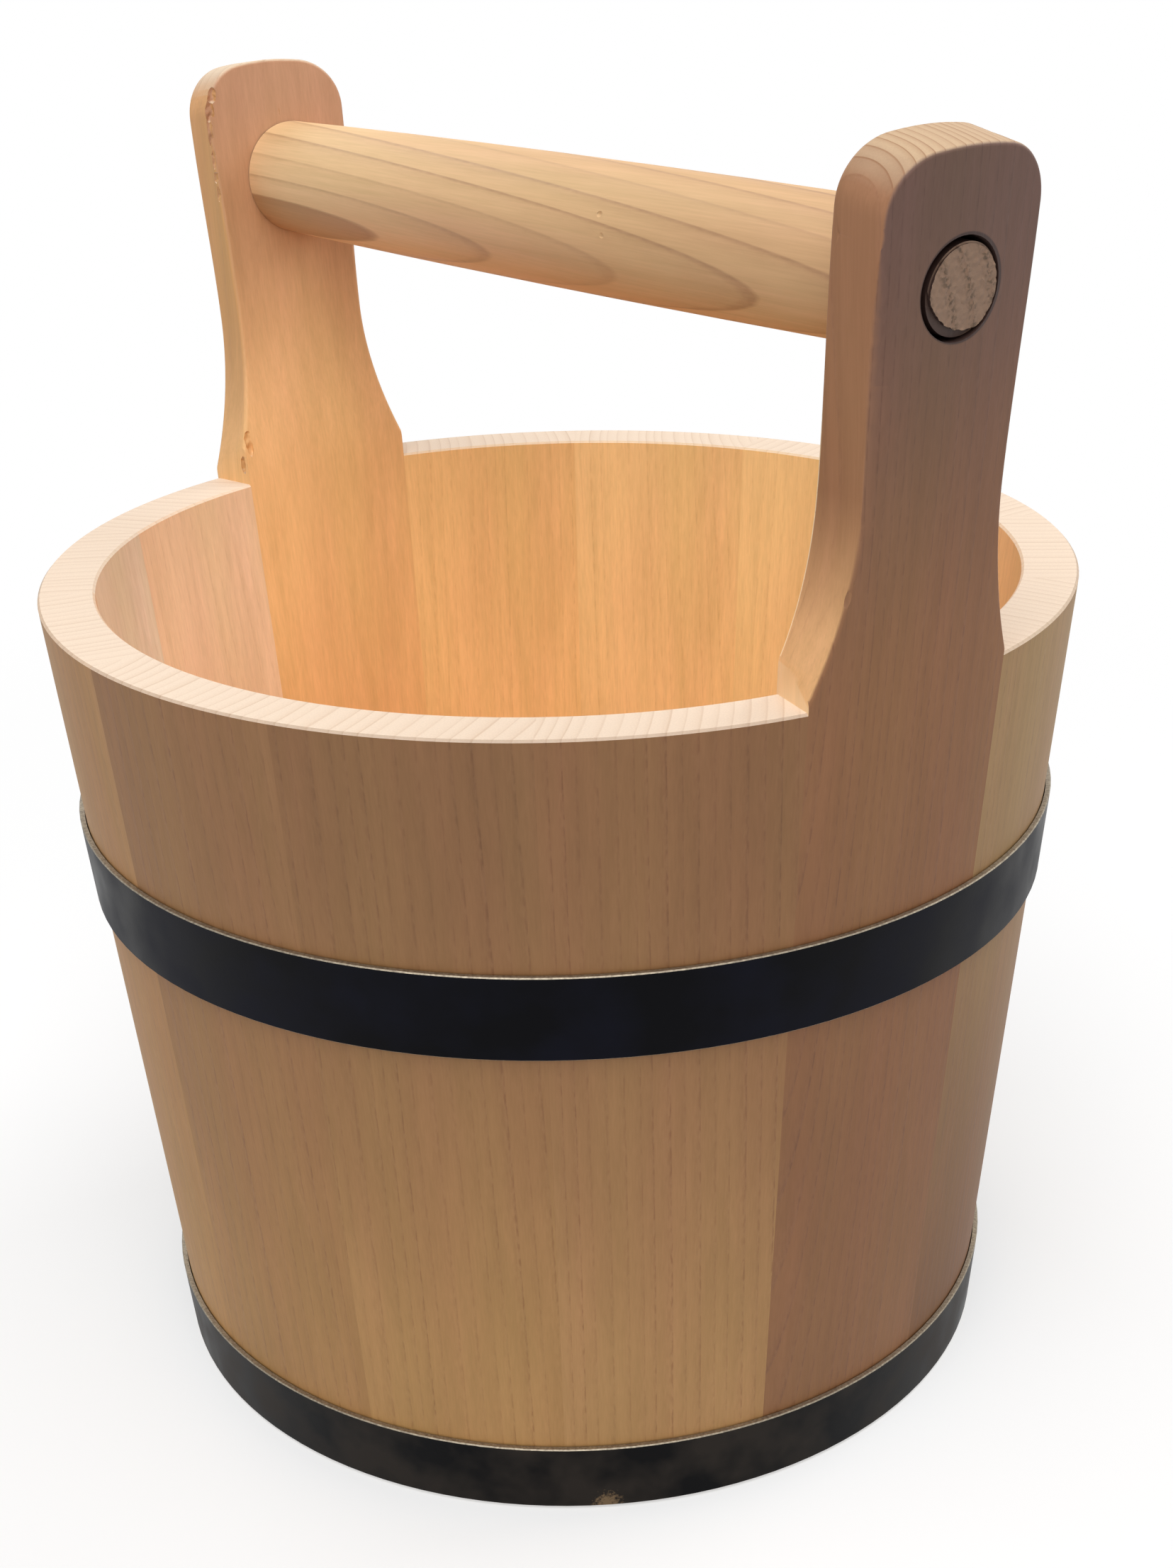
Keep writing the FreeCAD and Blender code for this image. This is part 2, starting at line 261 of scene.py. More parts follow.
def solid_wood(name, turn, pith, lean, ring_width, early, late, along="Z", end_tone=PLAIN, shift=0.0,
               wander=0.05, inner_lines=0.2, outer_lines=0.42, dashes=0.65, outside=(PLAIN, PLAIN),
               inside=(PLAIN, PLAIN), side_tone=PLAIN, change=FOOT_TO_RIM, pits=0.0, seat=0.0,
               end_lines=0.35, heart_and_shade=None, highlight_height=0):
    """Planed softwood with growth rings about its own pith, so that faces, arrises and end grain agree.

    It gives the eye a dry, silky face with fine dark lines along it, a low sheen on the harder late wood,
    and paler sawn ends where the same lines turn to arcs. It is bare wood, rough and with an IOR of 1.5.

    The piece's own axes are outwards, across and along the grain, in millimetres, turned from the bucket's
    by turn, or laid down where along is "X". The pith leans outwards and across by lean for each millimetre
    along, and shift moves the rings, which wander. inner_lines, outer_lines and end_lines say how strong the
    late wood is on each side and on the ends, and dashes how broken it is.

    Its outside and inside each have a tone at the start and at the end of the stretch in change, which on the
    staves is painted shade, and side_tone is the painted shade on the sides of a tall stave above its flare.
    end_tone tints the ends, pits says how much the saw plucked out, painting the hollows as dark shade,
    heart_and_shade gives the ring inside of which the wood is darker and its tone, partly heartwood and
    partly painted shade, seat is the radius round a tenon within which painted shade darkens the joint, and
    highlight_height the height up to which the left inner arris has a painted highlight.
    """
    material, tree = new_material(name)
    place = add(tree, "TexCoord")
    spin = (0, 0, -turn) if along == "Z" else (0, -math.pi / 2, 0)
    own = add(tree, "Mapping", {"Vector": place.outputs["Object"], "Rotation": spin,
                                "Scale": (TO_MM, TO_MM, TO_MM)})
    facing = add(tree, "Mapping", {"Vector": place.outputs["Normal"], "Rotation": spin}, vector_type="NORMAL")
    outwards, across, endwards = add(tree, "SeparateXYZ", [facing]).outputs
    along_grain = add(tree, "SeparateXYZ", [own]).outputs["Z"]
    rings, line = growth_rings(tree, own, along_grain, pith, lean, ring_width, shift, wander)
    fibre, tint = fibre_tones(tree, own)

    # On the planed faces the late wood is a row of short dashes, darker outside than inside
    is_outer = add(tree, "MapRange", [outwards, -0.2, 0.6, 0.0, 1.0])
    strength = add(tree, "MapRange", [is_outer, 0, 1, inner_lines, outer_lines])
    broken = add(tree, "MapRange", [grain(tree, own, DASHES, 2.0), 0.42, 0.62, 1 - dashes, 1 + dashes])
    strength = add(tree, "Math", [strength, broken], **TIMES)
    dashed_line = add(tree, "Math", [line, strength], **TIMES)
    face = add(tree, "Mix", [dashed_line, linear(early), linear(late)], **MIXED)
    face = add(tree, "Mix", [1.0, face, tint], **TINTED)
    # Heartwood inside a given ring, its darker tone partly painted shade on the bar's underside
    if heart_and_shade:
        in_heart = add(tree, "MapRange", [rings, heart_and_shade[0] - 0.12, heart_and_shade[0], 1.0, 0.0])
        shaded_heartwood = add(tree, "Mix", [1.0, face, linear(heart_and_shade[1])], **TINTED)
        face = add(tree, "Mix", [in_heart, face, shaded_heartwood], **MIXED)

    # Painted shade: the tone of each side changes up the stave, as more or less light fell on it. The bar's
    # sides only turn darker and greyer towards its near end
    changed = add(tree, "MapRange", [along_grain, *change, 0.0, 1.0], interpolation_type="SMOOTHSTEP")
    outer = add(tree, "Mix", [changed, linear(outside[0]), linear(outside[1])], **MIXED)
    inner = add(tree, "Mix", [changed, linear(inside[0]), linear(inside[1])], **MIXED)
    shade_tone = add(tree, "Mix", [is_outer, inner, outer], **MIXED)
    # Painted shade on the sides of a tall stave above its flare, where the faces turn upright and less light
    # falls
    if side_tone != PLAIN:
        side = add(tree, "Math", [across], operation="ABSOLUTE")
        side = add(tree, "MapRange", [side, 0.5, 0.95, 0.0, 1.0])
        above_flare = add(tree, "MapRange", [along_grain, SIDE_SHADE_FROM, SIDE_SHADE_FULL, 0.0, 1.0])
        side_shaded = add(tree, "Math", [side, above_flare], **TIMES)
        shade_tone = add(tree, "Mix", [side_shaded, shade_tone, linear(side_tone)], **MIXED)
    face = add(tree, "Mix", [1.0, face, shade_tone], **TINTED)
    # A painted highlight where light catches the left inner arris, low on the stave
    if highlight_height:
        arris = add(tree, "Math", [outwards, across], **TIMES)
        arris = add(tree, "MapRange", [arris, 0.12, 0.35, 0.0, 0.85])
        on_the_inside = add(tree, "Math", [outwards, 0.0], operation="LESS_THAN")
        low_down = add(tree, "MapRange", [along_grain, highlight_height, highlight_height + HIGHLIGHT_FADE, 1.0, 0.0])
        patch_mask = add(tree, "Math", [add(tree, "Math", [arris, on_the_inside], **TIMES), low_down], **TIMES)
        face = add(tree, "Mix", [patch_mask, face, linear(ARRIS_HIGHLIGHT)], **MIXED)

    # End grain, where the saw crossed the fibres: paler, with the rings as fine arcs
    arcs = add(tree, "Math", [line, end_lines], **TIMES)
    end = add(tree, "Mix", [arcs, linear(END_GRAIN), linear(END_LINES)], **MIXED)
    specks = add(tree, "TexNoise", [own, 1 / SPECK, 2.0])
    end = add(tree, "Mix", [1.0, end, add(tree, "MapRange", [specks, 0.3, 0.7, 0.95, 1.03])], **TINTED)
    end = add(tree, "Mix", [1.0, end, linear(end_tone)], **TINTED)
    if pits:
        # The saw plucked the soft wood out beside each ring. The hollows are not cut: their shade is painted
        # dark
        hollows = add(tree, "TexNoise", [own, 1 / HOLLOW, 2.0])
        hollows = add(tree, "MapRange", [hollows, 0.47, 0.6, 0.0, pits])
        from_ring = add(tree, "Math", [add(tree, "Math", [rings, 0.1]), 0.5], operation="PINGPONG")
        beside = add(tree, "MapRange", [from_ring, 0.0, 0.3, 1.0, 0.0])
        in_pit_shade = add(tree, "Math", [hollows, beside], **TIMES)
        end = add(tree, "Mix", [in_pit_shade, end, linear(PIT_SHADE)], **MIXED)
    is_end = add(tree, "Math", [endwards], operation="ABSOLUTE")
    is_end = add(tree, "MapRange", [is_end, 0.4, 0.9, 0.0, 1.0])
    colour = add(tree, "Mix", [is_end, face, end], **MIXED)
    # Painted shade in the joint: the hole and the tenon's side and broken end darkened as if in shadow
    if seat:
        shaded = joint_shade(tree, place.outputs["Object"], seat, is_end if along == "X" else None)
        colour = add(tree, "Mix", [shaded, colour, linear(JOINT_SHADE)], **MIXED)

    # The fibres and the harder late wood stand up a little, less than a tenth of a millimetre, after planing
    late_height = add(tree, "Math", [line, 0.35], **TIMES)
    height = add(tree, "Math", [fibre, 0.5, late_height], operation="MULTIPLY_ADD")
    bump = add(tree, "Bump", {"Height": height, "Strength": 0.35, "Distance": 0.00012})
    roughness = add(tree, "MapRange", [line, 0, 1, 0.62, 0.5])
    surface(tree, add(tree, "BsdfPrincipled", {"Base Color": colour, "Normal": bump, "Roughness": roughness}))
    return material


def blackened_hoop(name, dark, light, cloud_size, patch_at):
    """Strip steel with a thin black coat, worn through to bare metal on its sheared edges.

    It gives the eye a nearly black band with a low sheen and a thin pale line along each edge. The coat is
    less glossy than paint, so its specular level is low, and the bare metal is dull; its warm tint is a
    painted reflection of the wood. Painted reflections lie on the coat as lighter clouds, cloud_size
    millimetres across.
    Round patch_at the coat turns to a brown patch.
    """
    material, tree = new_material(name)
    place = add(tree, "TexCoord")
    own = add(tree, "VectorMath", [place.outputs["Object"], (TO_MM, TO_MM, TO_MM)], **TIMES)
    clouds = add(tree, "TexNoise", [own, 1 / cloud_size, 3.0])
    grit = add(tree, "TexNoise", [own, 1 / GRIT, 2.0])
    # Painted reflections: lighter clouds over the dark coat
    reflecting = add(tree, "MapRange", [clouds, 0.4, 0.64, 0.0, 1.0])
    coat_and_reflection = add(tree, "Mix", [reflecting, linear(dark), linear(light)], **MIXED)
    # A brown patch with a ragged edge round patch_at
    if patch_at:
        from_patch = add(tree, "VectorMath", [place.outputs["Object"], patch_at], operation="SUBTRACT")
        from_patch = add(tree, "VectorMath", [from_patch], operation="LENGTH")
        ragged = add(tree, "MapRange", [grit, 0.3, 0.7, -1.2, 1.2])
        from_patch = add(tree, "Math", [from_patch, TO_MM, ragged], operation="MULTIPLY_ADD")
        patch_mask = add(tree, "MapRange", [from_patch, 1.2, 3.4, 0.85, 0.0])
        coat_and_reflection = add(tree, "Mix", [patch_mask, coat_and_reflection, linear(BROWN_PATCH)], **MIXED)
    rough = add(tree, "MapRange", [clouds, 0.35, 0.65, 0.34, 0.5])
    bump = add(tree, "Bump", {"Height": grit, "Strength": 0.25, "Distance": 0.00004})
    coat = add(tree, "BsdfPrincipled", {"Base Color": coat_and_reflection, "Roughness": rough, "Normal": bump,
                                        "Specular IOR Level": 0.07})
    gritty = add(tree, "MapRange", [grit, 0.3, 0.7, 0.0, 1.0])
    # Bare metal on the edges, its warm tint a painted reflection of the wood
    bare_colour = add(tree, "Mix", [gritty, linear(BARE_DARK), linear(BARE_LIGHT)], **MIXED)
    bare = add(tree, "BsdfPrincipled", {"Base Color": bare_colour, "Metallic": 1.0, "Roughness": 0.5,
                                        "Normal": bump})
    edgewards = add(tree, "SeparateXYZ", [place.outputs["Normal"]]).outputs["Z"]
    worn = add(tree, "Math", [edgewards], operation="ABSOLUTE")
    worn = add(tree, "MapRange", [worn, 0.35, 0.75, 0.0, 1.0])
    surface(tree, add(tree, "MixShader", [worn, coat, bare]))
    return material


def only(piece):
    """Selects one piece and makes it the active one."""
    bpy.ops.object.select_all(action="DESELECT")
    piece.select_set(True)
    bpy.context.view_layer.objects.active = piece


def shown_copy(node):
    """A copy of a CAD node that takes the marks of tools and use, and stands for the node."""
    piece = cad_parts[node].copy()
    piece.data = piece.data.copy()
    piece.name = f"worn_{node}"
    bpy.context.scene.collection.objects.link(piece)
    only(piece)
    bpy.ops.object.mode_set(mode="EDIT")
    bpy.ops.mesh.select_all(action="SELECT")
    bpy.ops.mesh.customdata_custom_splitnormals_clear()
    bpy.ops.mesh.remove_doubles(threshold=CAD_MERGE_REACH)
    bpy.ops.object.mode_set(mode="OBJECT")
    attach(piece, "root")
    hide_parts(node)
    return piece


def roughen(tool, size, depth):
    """Moves a tool's surface in and out by about depth, in lumps of the given size, both in metres."""
    lumps = bpy.data.textures.new("lumps", "CLOUDS")
    lumps.noise_scale = size
    lumps.noise_depth = 2
    change = tool.modifiers.new("rough", "DISPLACE")
    change.texture = lumps
    change.texture_coords = "LOCAL"
    change.strength = depth
    only(tool)
    bpy.ops.object.modifier_apply(modifier=change.name)


def cut(piece, tool):
    """Takes the tool's solid out of the piece and removes the tool."""
    change = piece.modifiers.new("cut", "BOOLEAN")
    change.operation = "DIFFERENCE"
    change.solver = "EXACT"
    change.object = tool
    only(piece)
    bpy.ops.object.modifier_apply(modifier=change.name)
    bpy.data.objects.remove(tool)


def chip(piece, place, size, turn=(0, 0, 0), roughness=0.3):
    """Breaks a chip out of the piece: place and size in millimetres, turn in degrees."""
    bpy.ops.object.select_all(action="DESELECT")
    bpy.ops.mesh.primitive_ico_sphere_add(subdivisions=4, radius=0.5, location=[v / TO_MM for v in place],
                                          rotation=[math.radians(v) for v in turn],
                                          scale=[v / TO_MM for v in size])
    tool = bpy.context.object
    bpy.ops.object.transform_apply(location=True, rotation=True, scale=True)
    roughen(tool, min(size) / TO_MM * 0.8, min(size) / TO_MM * roughness)
    cut(piece, tool)


def thicken(step):
    """Draws the flat tool that is being made out by step, in metres, to a closed block."""
    bpy.ops.object.mode_set(mode="EDIT")
    bpy.ops.mesh.select_all(action="SELECT")
    bpy.ops.mesh.extrude_region_move(TRANSFORM_OT_translate={"value": step})
    bpy.ops.mesh.select_all(action="SELECT")
    bpy.ops.mesh.normals_make_consistent(inside=False)
    bpy.ops.object.mode_set(mode="OBJECT")


def plane_arris(piece, start, end, facing, depth):
    """Planes a long hollow facet along an arris, deepest half way from start to end; millimetres."""
    start, end = Vector(start) / TO_MM, Vector(end) / TO_MM
    along = (end - start).normalized()
    across = Vector(facing).cross(along).normalized()
    length = (end - start).length
    bpy.ops.object.select_all(action="DESELECT")
    bpy.ops.mesh.primitive_grid_add(x_subdivisions=40, y_subdivisions=1, size=1, scale=(1, 1, 1))
    tool = bpy.context.object
    for point in tool.data.vertices:
        from_middle = 2 * point.co.x
        sunk = (from_middle * from_middle - 1) * depth / TO_MM
        point.co = (point.co.x * length, point.co.y * PLANE_WIDTH, sunk)
    thicken((0, 0, BLOCK_DEPTH))
    turned = Matrix((along, across, along.cross(across))).transposed().to_4x4()
    tool.matrix_world = Matrix.Translation((start + end) / 2) @ turned
    only(tool)
    bpy.ops.object.transform_apply(location=True, rotation=True, scale=True)
    cut(piece, tool)


def saw_block(face, middle, width, lumps, depth):
    """A block whose inner face is as rough as a coarse saw leaves end grain, facing along the bar."""
    bpy.ops.object.select_all(action="DESELECT")
    bpy.ops.mesh.primitive_grid_add(x_subdivisions=70, y_subdivisions=70, size=width,
                                    location=(face, *middle),
                                    rotation=(0, math.pi / 2 + math.atan(STAVE_SLOPE), 0))
    tool = bpy.context.object
    bpy.ops.object.transform_apply(location=True, rotation=True, scale=True)
    roughen(tool, lumps, depth)
    thicken((BLOCK_DEPTH, 0, 0))
    return tool


def disc(face, middle, radius, thickness):
    """A round block across the bar's end, half of it inside, leaning with the stave as the end does."""
    bpy.ops.object.select_all(action="DESELECT")
    bpy.ops.mesh.primitive_cylinder_add(vertices=96, radius=radius, depth=thickness, location=(face, *middle),
                                        rotation=(0, math.pi / 2 + math.atan(STAVE_SLOPE), 0))
    tool = bpy.context.object
    bpy.ops.object.transform_apply(location=True, rotation=True, scale=True)
    return tool


def move_where(piece, chosen, step, spread=1.0):
    """Moves the points that are chosen by step, in metres, and spreads them from the bucket's axis."""
    only(piece)
    bpy.ops.object.mode_set(mode="EDIT")
    bpy.ops.mesh.select_all(action="DESELECT")
    bpy.ops.object.mode_set(mode="OBJECT")
    for point in piece.data.vertices:
        point.select = chosen(point.co)
    bpy.ops.object.mode_set(mode="EDIT")
    bpy.ops.transform.translate(value=step)
    if spread != 1.0:
        bpy.ops.transform.resize(value=(spread, spread, 1), center_override=(0, 0, 0))
    bpy.ops.object.mode_set(mode="OBJECT")


def drop_folds(piece, reach):
    """Merges points within reach, and takes away pairs of triangles that cutting left back to back."""
    only(piece)
    bpy.context.tool_settings.mesh_select_mode = (False, False, True)
    bpy.ops.object.mode_set(mode="EDIT")
    bpy.ops.mesh.select_all(action="SELECT")
    bpy.ops.mesh.remove_doubles(threshold=reach)
    bpy.ops.mesh.quads_convert_to_tris(quad_method="BEAUTY", ngon_method="BEAUTY")
    bpy.ops.mesh.select_all(action="DESELECT")
    bpy.ops.object.mode_set(mode="OBJECT")
    same_corners = {}
    for face in piece.data.polygons:
        same_corners.setdefault(frozenset(face.vertices), []).append(face)
    for faces in same_corners.values():
        for face in faces[:len(faces) // 2 * 2]:
            face.select = True
    bpy.ops.object.mode_set(mode="EDIT")
    bpy.ops.mesh.delete(type="FACE")
    bpy.ops.object.mode_set(mode="OBJECT")
    bpy.context.tool_settings.mesh_select_mode = (True, False, False)


def smooth(piece, reach=MERGE_REACH):
    """Cleans the mesh, then shades it smooth with its arrises kept and its large flat faces flat."""
    drop_folds(piece, reach)
    only(piece)
    bpy.ops.object.shade_smooth_by_angle(angle=math.radians(32))
    even = piece.modifiers.new("even", "WEIGHTED_NORMAL")
    even.keep_sharp = True
    bpy.ops.object.modifier_apply(modifier=even.name)


# Each stave is sawn from its own board. Clockwise from above, starting at the handle stave by the camera:
# where its pith lay, outwards from the bucket's middle and across, and the width of its rings, in
# millimetres, its early and late wood, and the tone of its outside at the foot and at the rim, which is
# painted shade
BOARDS = [
    ((119, -29), 2.1, "#f6c286", "#ae7142", "#98867f", "#706b85"),
    ((68, -131), 3.1, "#f5ca94", "#bd8450", "#c1b29d", "#958173"),
    ((89, -142), 3.6, "#f5cb94", "#c28c56", "#c2b299", "#927f71"),
    ((121, -63), 3.2, "#f3c892", "#be8852", "#bbaa90", "#9d8b7d"),
    ((112, -98), 3.0, "#fbd2a2", "#c89462", "#beaa85", "#b3a084"),
    # This board's paler wood is partly painted sheen on its inner face, which is seen at a grazing angle
    ((98, 120), 2.8, "#fff0d8", "#d8b48c", "#b4a28e", "#948474"),
    ((130, -90), 3.4, "#ffdfba", "#d0a074", "#b8a694", "#948474"),
    ((175, 40), 3.4, "#f3c183", "#be824a", "#b8a694", "#948474"),
    ((120, 110), 3.0, "#ffd593", "#cc9458", "#baaa96", "#948474"),
    ((135, -92), 2.6, "#ffda9a", "#ce985a", "#baaa96", "#948474"),
    ((105, 100), 3.3, "#ffde9e", "#d2a05e", "#baaa96", "#948474"),
    ((128, -104), 2.7, "#f8d098", "#c48a50", "#baaa96", "#948474"),
    ((118, 96), 3.1, "#f8d09a", "#c48c54", "#baaa96", "#948474"),
    ((95, -110), 2.5, "#f5c894", "#bc8650", "#816955", "#b1ac9b"),
]
LEANS = [(0.004, -0.006), (0.01, 0.012), (-0.006, 0.012), (0.004, -0.01), (0.0, 0.008)]

# Each tall stave has its own grain, ends and painted shade above the rim, and the near one a painted
# highlight
HANDLE_GRAIN_AND_SHADE = {
    "handle_stave_right": {"end_tone": "#d0c1ab", "inner_lines": 0.1, "outer_lines": 0.34, "seat": 10.1,
                           "end_lines": 1.0, "inside": (PLAIN, "#a89a9e"), "side_tone": "#9c8e8d",
                           "change": NECK_TO_HEAD, "highlight_height": 238},
    "handle_stave_left": {"end_tone": "#f0ebe0", "inner_lines": 0.08, "outer_lines": 0.2,
                          "inside": (PLAIN, "#cac1d8"), "side_tone": "#ddd4cc", "change": NECK_TO_HEAD},
}

for name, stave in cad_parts.items():
    if "stave" not in name:
        continue
    low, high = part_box(name)
    number = round(-math.atan2(low.y + high.y, low.x + high.x) / STAVE_TURN) % STAVE_COUNT
    pith, ring_width, early, late, foot_tone, rim_tone = BOARDS[number]
    grain_and_shade = {"outside": (foot_tone, rim_tone), "inside": (PLAIN, "#f6f0ec")}
    grain_and_shade.update(HANDLE_GRAIN_AND_SHADE.get(name, {}))
    dress(stave, solid_wood(f"planed_{name}_wood", -number * STAVE_TURN, pith, LEANS[number % len(LEANS)],
                            ring_width, early, late, **grain_and_shade))

# The bar is turned from one piece whose pith passed in front of it and below, at a slant, so that its rings
# show as long pointed arches and its far end has darker heartwood, made darker still as painted shade on its
# underside. Both its sides turn darker and greyer towards its near end. A sharp tool leaves the lines whole
dress(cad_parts["handle_bar"],
      solid_wood("turned_bar_wood", 0.0, (-256.5, -24.7), (-0.0014, -0.1237), 5.119, "#e4bc8e", "#8c5a38",
                 along="X", end_tone="#a18f84", shift=-1.927, wander=0.015, inner_lines=0.5, outer_lines=0.5,
                 dashes=0.1, inside=(PLAIN, "#e6e2da"), outside=(PLAIN, "#e6e2da"), change=(-110, 60),
                 pits=0.9, seat=9.2, heart_and_shade=(0, "#d2c5bc")))

# The bottom boards lie flat, each with its pith 60 mm above its lower face and 20 mm to one side
for name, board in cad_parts.items():
    if "bottom_board" in name:
        low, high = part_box(name)
        pith = (-low.z * TO_MM - 60, (low.y + high.y) / 2 * TO_MM + 20)
        dress(board, solid_wood(f"planed_{name}_wood", 0.0, pith, (0.01, 0.01), 3.4, "#f0c490", "#c08850",
                                along="X"))

# The hoops: the dark of the coat and the lighter colour of the painted reflections on it, the size of their
# clouds, where a brown patch sits, and how many millimetres taller than its solid the hoop stands. The lower
# one's painted reflections are greyer and stronger
HOOPS = [
    ("upper_hoop", "#030307", "#0b0c17", 22, None, 1.2),
    ("lower_hoop", "#050507", "#2c2723", 15, (0.0852, -0.0564, 0.0012), 0.5),
]
for name, dark, light, cloud_size, patch_at, _ in HOOPS:
    steel = blackened_hoop(f"black_coated_steel_{name}", dark, light, cloud_size, patch_at)
    dress(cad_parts[name], steel)

# The handle stave by the camera: two facets that soften its left outer arris, a chip and a nick in the same
# arris lower down, and a fleck near its head
near_stave = shown_copy("handle_stave_right")
for turn in (math.pi / 6, math.pi / 3):
    leftwards = (math.cos(turn), -math.sin(turn), 0)
    plane_arris(near_stave, (121.7, -18.6, 227), (127.1, -19.9, 283), leftwards, 1.15)
chip(near_stave, (122.9, -23.5, 216.8), (9.0, 9.0, 12.0), (8, 0, 0), 0.05)
chip(near_stave, (121.7, -19.2, 218.9), (1.5, 1.3, 2.6), (6, 0, 0), 0.4)
chip(near_stave, (116.0, -20.2, 282.9), (1.1, 1.0, 1.6))
smooth(near_stave)

# The far handle stave, place and size of each chip: grain torn out along its inner left arris, at the head,
# half way and above the rim, and two fine splits in the inner face of the head
FAR_CHIPS = [
    ((-117.9, -18.7, 291.3), (2.4, 2.6, 4.4)),
    ((-117.7, -19.7, 287.4), (2.0, 2.6, 6.0)),
    ((-117.2, -20.4, 282.6), (1.5, 1.9, 8.0)),
    ((-116.4, -20.6, 276.5), (1.2, 1.6, 7.0)),
    ((-116.1, -20.6, 271.0), (1.8, 2.0, 3.4)),
    ((-115.7, -20.4, 267.0), (1.4, 1.7, 4.4)),
    ((-106.2, -22.4, 204.4), (2.2, 2.4, 8.0)),
    ((-106.6, -24.0, 198.4), (1.8, 2.0, 5.0)),
    ((-118.3, -4.5, 289.8), (1.0, 0.35, 4.6)),
    ((-118.2, 0.8, 287.0), (1.0, 0.4, 6.0)),
]
far_stave = shown_copy("handle_stave_left")
for place, size in FAR_CHIPS:
    chip(far_stave, place, size, (4, 0, 0), 0.5)
smooth(far_stave)

# The bar: three small dents in its front, and the tenon's end rough from the saw, broken away low on the left
bar = shown_copy("handle_bar")
for place in ((34.0, -10.5, 280.8), (34.4, -12.5, 277.1), (36.4, -13.7, 272.9)):
    chip(bar, place, (2.7, 2.2, 2.0), (0, 0, 20), 0.15)
move_where(bar, lambda point: point.x > TENON_END - TENON_REACH, (TENON_STANDS_OUT, TENON_ASIDE, -TENON_SAG))
cut(bar, saw_block(TENON_END - SAWN_DEPTH, TENON_MIDDLE, SAW_BLOCK_WIDTH, SAW_LUMPS, SAW_ROUGHNESS))
broken = disc(TENON_END, TENON_MIDDLE, BREAK_RADIUS, BREAK_THICKNESS)
whole = disc(TENON_END, (TENON_MIDDLE[0] + WHOLE_ASIDE, TENON_MIDDLE[1] + WHOLE_UP), WHOLE_RADIUS,
             WHOLE_THICKNESS)
bpy.ops.object.mode_set(mode="EDIT")
bpy.ops.mesh.select_all(action="SELECT")
bpy.ops.mesh.subdivide(number_cuts=3)
bpy.ops.object.mode_set(mode="OBJECT")
roughen(whole, BREAK_LUMPS, BREAK_ROUGHNESS)
cut(broken, whole)
cut(bar, broken)
smooth(bar, ROUGH_MERGE_REACH)

# The hoops stand taller than their solids, and lean out with the staves as they rise
for name, *_, lift in HOOPS:
    hoop = shown_copy(name)
    low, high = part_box(name)
    middle = (low.z + high.z) / 2
    wider = 1 + STAVE_SLOPE * lift / high.x / TO_MM
    move_where(hoop, lambda point: point.z > middle, (0, 0, lift / TO_MM), wider)
    smooth(hoop)

# The stave at the front, left of the light: a splinter lifted out of its rim
rim_stave = shown_copy("stave_10")
chip(rim_stave, (47.9, -110.9, 193.4), (1.6, 2.2, 1.4), (0, 0, 24), 0.5)
smooth(rim_stave)


def aim_camera():
    """Stands the camera where the photograph was taken from, with the same lens, aim and tilt."""
    data = bpy.data.cameras.new("camera")
    camera = bpy.data.objects.new("camera", data)
    bpy.context.scene.collection.objects.link(camera)
    bpy.context.scene.camera = camera
    data.sensor_fit = "HORIZONTAL"
    data.lens = data.sensor_width * FOCAL_PIXELS / PHOTO_WIDTH
    data.shift_x = (PHOTO_WIDTH / 2 - VIEW_CENTRE[0]) / PHOTO_WIDTH
    data.shift_y = (VIEW_CENTRE[1] - PHOTO_HEIGHT / 2) / PHOTO_WIDTH
    data.clip_start = 0.01
    place = CAMERA_DISTANCE * Vector((math.sin(CAMERA_TURN) * math.cos(CAMERA_RISE),
                                      -math.cos(CAMERA_TURN) * math.cos(CAMERA_RISE), math.sin(CAMERA_RISE)))
    heading = CAMERA_TURN + CAMERA_YAW
    forward = Vector((-math.sin(heading) * math.cos(CAMERA_PITCH), math.cos(heading) * math.cos(CAMERA_PITCH),
                      -math.sin(CAMERA_PITCH)))
    level = forward.cross(Vector((0, 0, 1))).normalized()
    upright = level.cross(forward)
    right = level * math.cos(CAMERA_ROLL) + upright * math.sin(CAMERA_ROLL)
    up = upright * math.cos(CAMERA_ROLL) - level * math.sin(CAMERA_ROLL)
    turned = Matrix((right, up, -forward)).transposed().to_4x4()
    camera.matrix_world = Matrix.Translation(place) @ turned


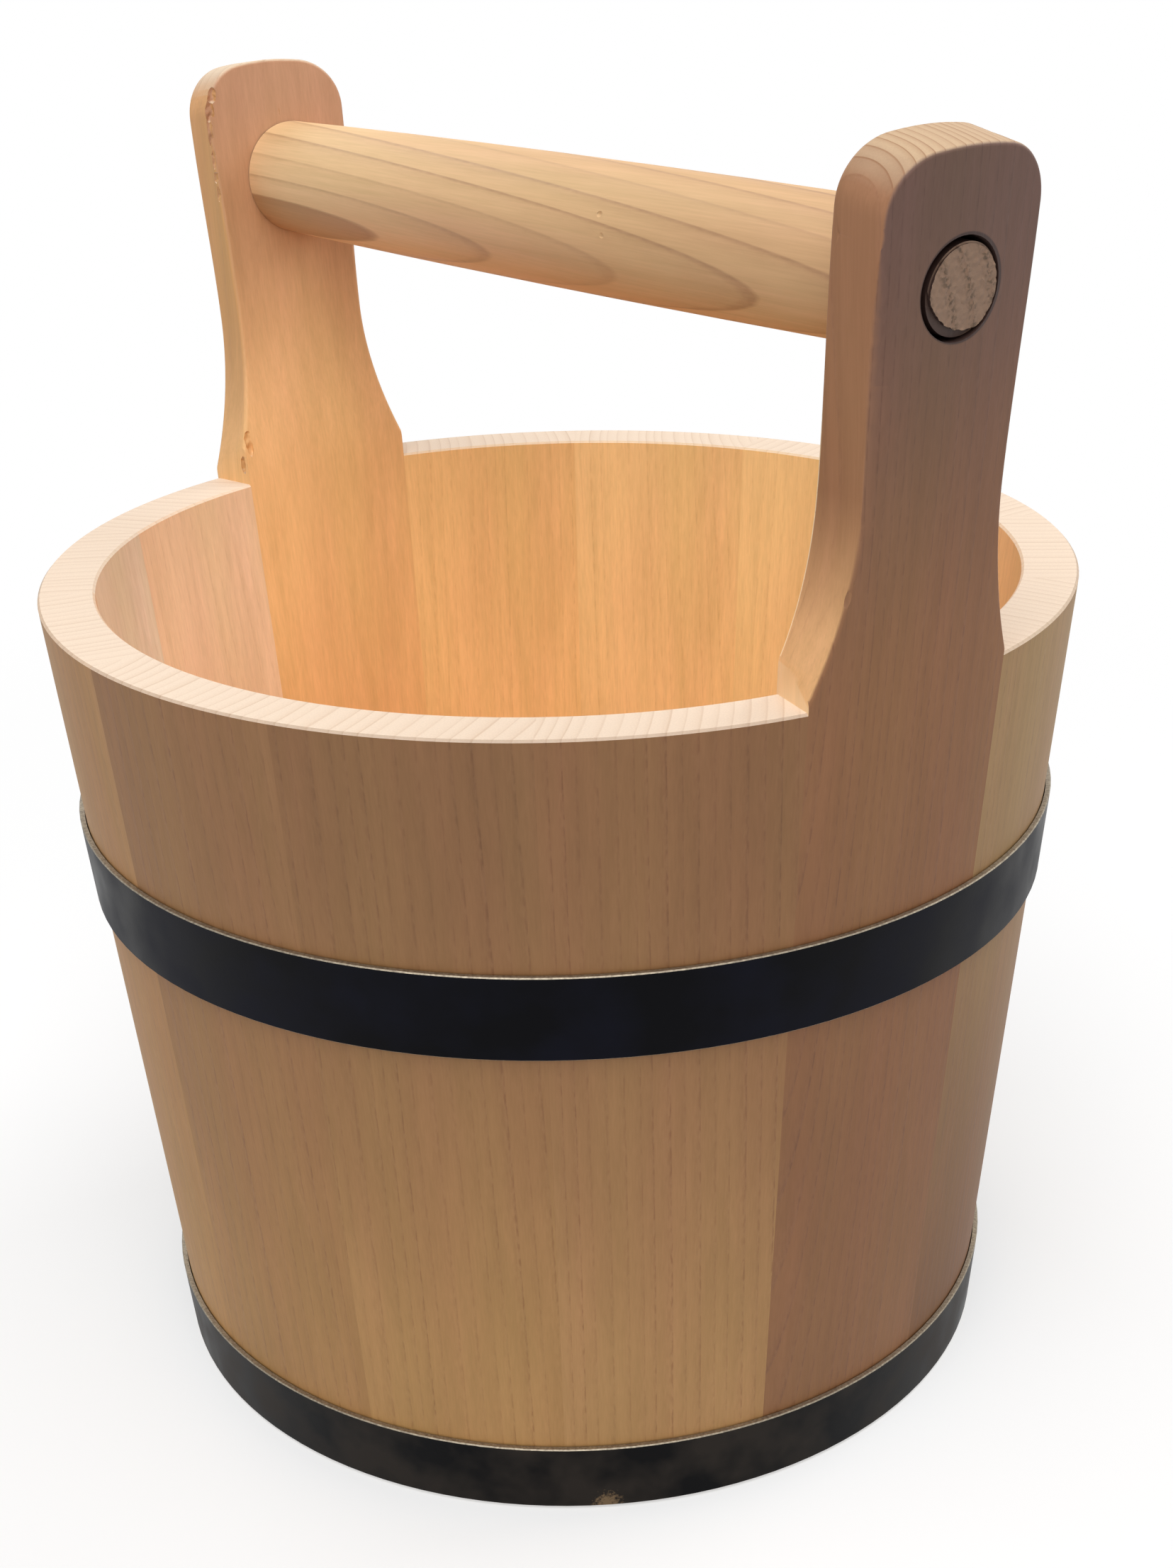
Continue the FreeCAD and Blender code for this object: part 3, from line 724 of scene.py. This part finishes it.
def lamp(name, place, aim, size, power):
    """A soft square white lamp at place, facing aim, with its size in metres and its power in watts."""
    data = bpy.data.lights.new(name, "AREA")
    data.size = size
    data.energy = power
    lit = bpy.data.objects.new(name, data)
    bpy.context.scene.collection.objects.link(lit)
    lit.location = place
    lit.rotation_euler = (Vector(aim) - Vector(place)).to_track_quat("-Z", "Y").to_euler()


def seen_ray(tree):
    """1 for a ray that the camera, a reflection or clear glass looks along, 0 for one that lights things."""
    path = add(tree, "LightPath")
    seen = [path.outputs["Is Camera Ray"], path.outputs["Is Glossy Ray"]]
    seen = [add(tree, "Math", seen, operation="MAXIMUM"), path.outputs["Is Transmission Ray"]]
    return add(tree, "Math", seen, operation="MAXIMUM")


aim_camera()
lamp("overhead_lamp", (0.25, -0.3, 1.55), (0, 0, 0.2), 1.0, 10.5)
lamp("left_lamp", (-1.3, -0.1, 1.4), (0, 0, 0.2), 0.8, 4)
lamp("front_lamp", (0.75, -0.8, 1.15), (0, 0, 0.15), 1.3, 10)
lamp("back_lamp", (0.25, 1.2, 1.2), (0, 0, 0.15), 0.9, 9)

# A floor 0.2 mm under the foot, in matt paint. To the eye it is a soft shadow that fades to white
bpy.ops.object.select_all(action="DESELECT")
bpy.ops.mesh.primitive_plane_add(size=8, location=(0, 0, -0.0002))
floor = bpy.context.object
floor.name = "floor"
floor_paint, tree = new_material("floor_paint")
seen = seen_ray(tree)
shade = add(tree, "Mix", [seen, linear("#cbcbcb"), linear("#f9f9f9")], **MIXED)
matt = add(tree, "BsdfDiffuse", [shade])
white = add(tree, "Emission", {"Strength": 1.0})
away = add(tree, "VectorMath", [add(tree, "TexCoord").outputs["Object"]], operation="LENGTH")
fade = add(tree, "Math", [seen, add(tree, "MapRange", [away, 0.2, 0.6, 0.5, 1.0])], **TIMES)
surface(tree, add(tree, "MixShader", [fade, matt, white]))
floor.data.materials.append(floor_paint)

# A white surround that is seen at full strength, and lights the bucket a little dimmer
world = bpy.data.worlds.new("studio")
bpy.context.scene.world = world
world.use_nodes = True
tree = world.node_tree
surround = tree.nodes["Background"]
surround.inputs["Color"].default_value = linear("#ffffff")
strength = add(tree, "MapRange", [seen_ray(tree), 0, 1, 0.3, 1.0])
tree.links.new(strength.outputs[0], surround.inputs["Strength"])

bpy.context.scene.view_settings.view_transform = "Standard"
